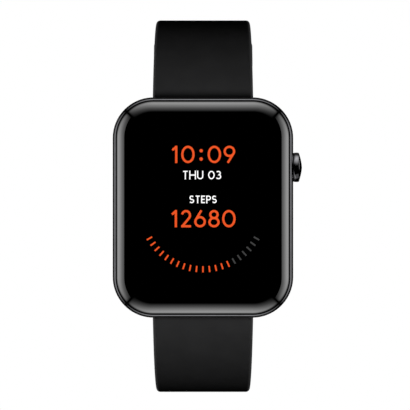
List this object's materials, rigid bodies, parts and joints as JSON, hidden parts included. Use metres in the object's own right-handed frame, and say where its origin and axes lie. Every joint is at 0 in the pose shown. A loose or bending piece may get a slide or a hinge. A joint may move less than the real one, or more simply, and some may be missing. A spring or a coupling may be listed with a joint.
{
  "type": "smartwatch",
  "caption": "Rectangular smartwatch with a curved-edge glass, a push crown and an unbuckled two-piece silicone strap with pin buckle.",
  "frame": {"origin": "centre of the flat of the sensor window on the back of the case, which touches the wrist", "axes": "+Y out of the back of the case towards the wrist (the glass faces -Y), +Z towards twelve o'clock, +X towards three o'clock, where the crown is"},
  "size_m": [0.0371, 0.0762, 0.0773],
  "materials": {
    "polished_case": "polished, dark gunmetal",
    "cover_glass": "polished",
    "polished_buckle": "polished, dark gunmetal",
    "silicone": "smooth matte",
    "rear_cover": "satin",
    "sensor_window": "polished",
    "display": "unlit black",
    "steel": "turned",
    "magnet": "nickel plated",
    "gold": "gold plated",
    "bright_metal": "satin",
    "moulding": "moulded",
    "circuit_board": "solder mask",
    "flex": "polyimide film",
    "pouch_cell": "laminated foil",
    "seal": "moulded",
    "chips": "clear moulded"
  },
  "bodies": {
    "head": {"case_body": "polished_case", "cover_glass": "cover_glass", "glass_gasket": "seal", "display_panel": "display", "display_backlight": "bright_metal", "display_flex": "flex", "chassis": "moulding", "main_board": "circuit_board", "shield_can": "bright_metal", "vibration_motor": "steel", "battery": "pouch_cell", "battery_lead": "flex", "sensor_lens": "sensor_window", "sensor_ring": "polished_case", "light_baffle": "moulding", "sensor_led": "chips", "photodiode_left": "chips", "photodiode_right": "chips", "sensor_board": "circuit_board", "sensor_flex": "flex", "rear_cover": "rear_cover", "rear_seal": "seal", "rear_screw_1": "steel", "rear_screw_2": "steel", "rear_screw_3": "steel", "rear_screw_4": "steel", "charge_pin_left": "gold", "charge_pin_right": "gold", "charge_magnet_left": "magnet", "charge_magnet_right": "magnet", "switch_body": "steel", "switch_flex": "flex", "crown_tube": "steel"},
    "crown_carriage": {"switch_plunger": "moulding"},
    "crown": {"crown_cap": "polished_case", "crown_stem": "steel", "crown_clip": "steel", "crown_o_ring": "seal"},
    "upper_band": {"upper_strap": "silicone", "upper_bar_tube": "steel", "upper_bar_tip": "steel", "upper_bar_spring": "steel", "fixed_keeper": "silicone"},
    "lower_band": {"lower_strap": "silicone", "lower_bar_tube": "steel", "lower_bar_tip": "steel", "lower_bar_spring": "steel"},
    "upper_release": {"upper_release_pin": "steel"},
    "lower_release": {"lower_release_pin": "steel"},
    "buckle": {"buckle_frame": "polished_buckle", "buckle_bar": "steel"},
    "tongue": {"buckle_tongue": "polished_buckle"},
    "sliding_keeper": {"free_keeper": "silicone"}
  },
  "joints": [
    {"name": "crown_press", "type": "slide", "parent": "head", "child": "crown_carriage", "axis": [-1, 0, 0], "range_m": [0, 0.0004], "stiffness_N_per_m": 1000, "springref_m": -0.0005},
    {"name": "crown_turn", "type": "hinge", "parent": "crown_carriage", "child": "crown", "pos_m": [0, -0.0053, 0.0079], "axis": [1, 0, 0], "continuous": true},
    {"name": "upper_strap_swing", "type": "hinge", "parent": "head", "child": "upper_band", "pos_m": [0, -0.00395, 0.0192], "axis": [1, 0, 0], "range_deg": [-22, 20]},
    {"name": "lower_strap_swing", "type": "hinge", "parent": "head", "child": "lower_band", "pos_m": [0, -0.00395, -0.0192], "axis": [-1, 0, 0], "range_deg": [-9, 20]},
    {"name": "upper_release_slide", "type": "slide", "parent": "upper_band", "child": "upper_release", "axis": [1, 0, 0], "range_m": [0, 0.0013], "stiffness_N_per_m": 400, "springref_m": -0.001, "deforming": ["upper_bar_spring"]},
    {"name": "lower_release_slide", "type": "slide", "parent": "lower_band", "child": "lower_release", "axis": [-1, 0, 0], "range_m": [0, 0.0013], "stiffness_N_per_m": 400, "springref_m": -0.001, "deforming": ["lower_bar_spring"]},
    {"name": "buckle_swing", "type": "hinge", "parent": "upper_band", "child": "buckle", "pos_m": [0, 0.05312, 0.02064], "axis": [1, 0, 0], "range_deg": [-20, 60]},
    {"name": "tongue_swing", "type": "hinge", "parent": "buckle", "child": "tongue", "pos_m": [0, 0.05312, 0.02064], "axis": [1, 0, 0], "range_deg": [0, 70]},
    {"name": "keeper_slide", "type": "hinge", "parent": "upper_band", "child": "sliding_keeper", "pos_m": [0, 0.02144, -0.00035], "axis": [1, 0, 0], "range_deg": [-4, 14]}
  ]
}
